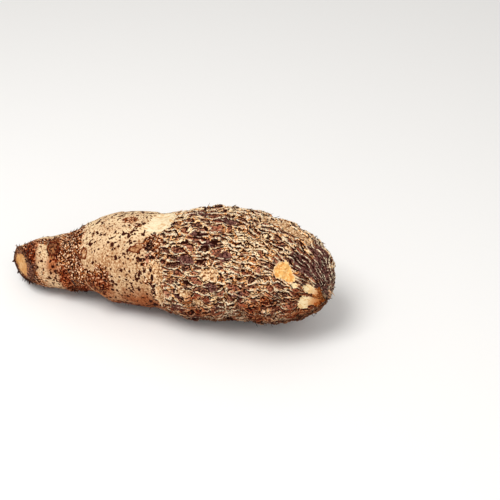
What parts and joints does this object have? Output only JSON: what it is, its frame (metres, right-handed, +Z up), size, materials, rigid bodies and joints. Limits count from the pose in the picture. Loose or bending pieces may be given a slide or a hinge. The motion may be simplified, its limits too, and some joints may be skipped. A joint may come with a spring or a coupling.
{
  "type": "malanga tuber",
  "caption": "Whole malanga tuber, a swollen root lying on its side, with a narrow cut root end, corky ringed bark and a pointed bud end.",
  "frame": {"origin": "middle of the tuber's footprint box, on the surface it rests on", "axes": "+X along the tuber from the cut root end to the bud end, -Y its front, +Z up"},
  "size_m": [0.2214, 0.0778, 0.0752],
  "materials": {
    "corky_skin": "dry corky bark, tan and smooth near the cut root end, dark brown and ridged towards the bud"
  },
  "bodies": {
    "root": {"malanga": "corky_skin"}
  },
  "joints": []
}
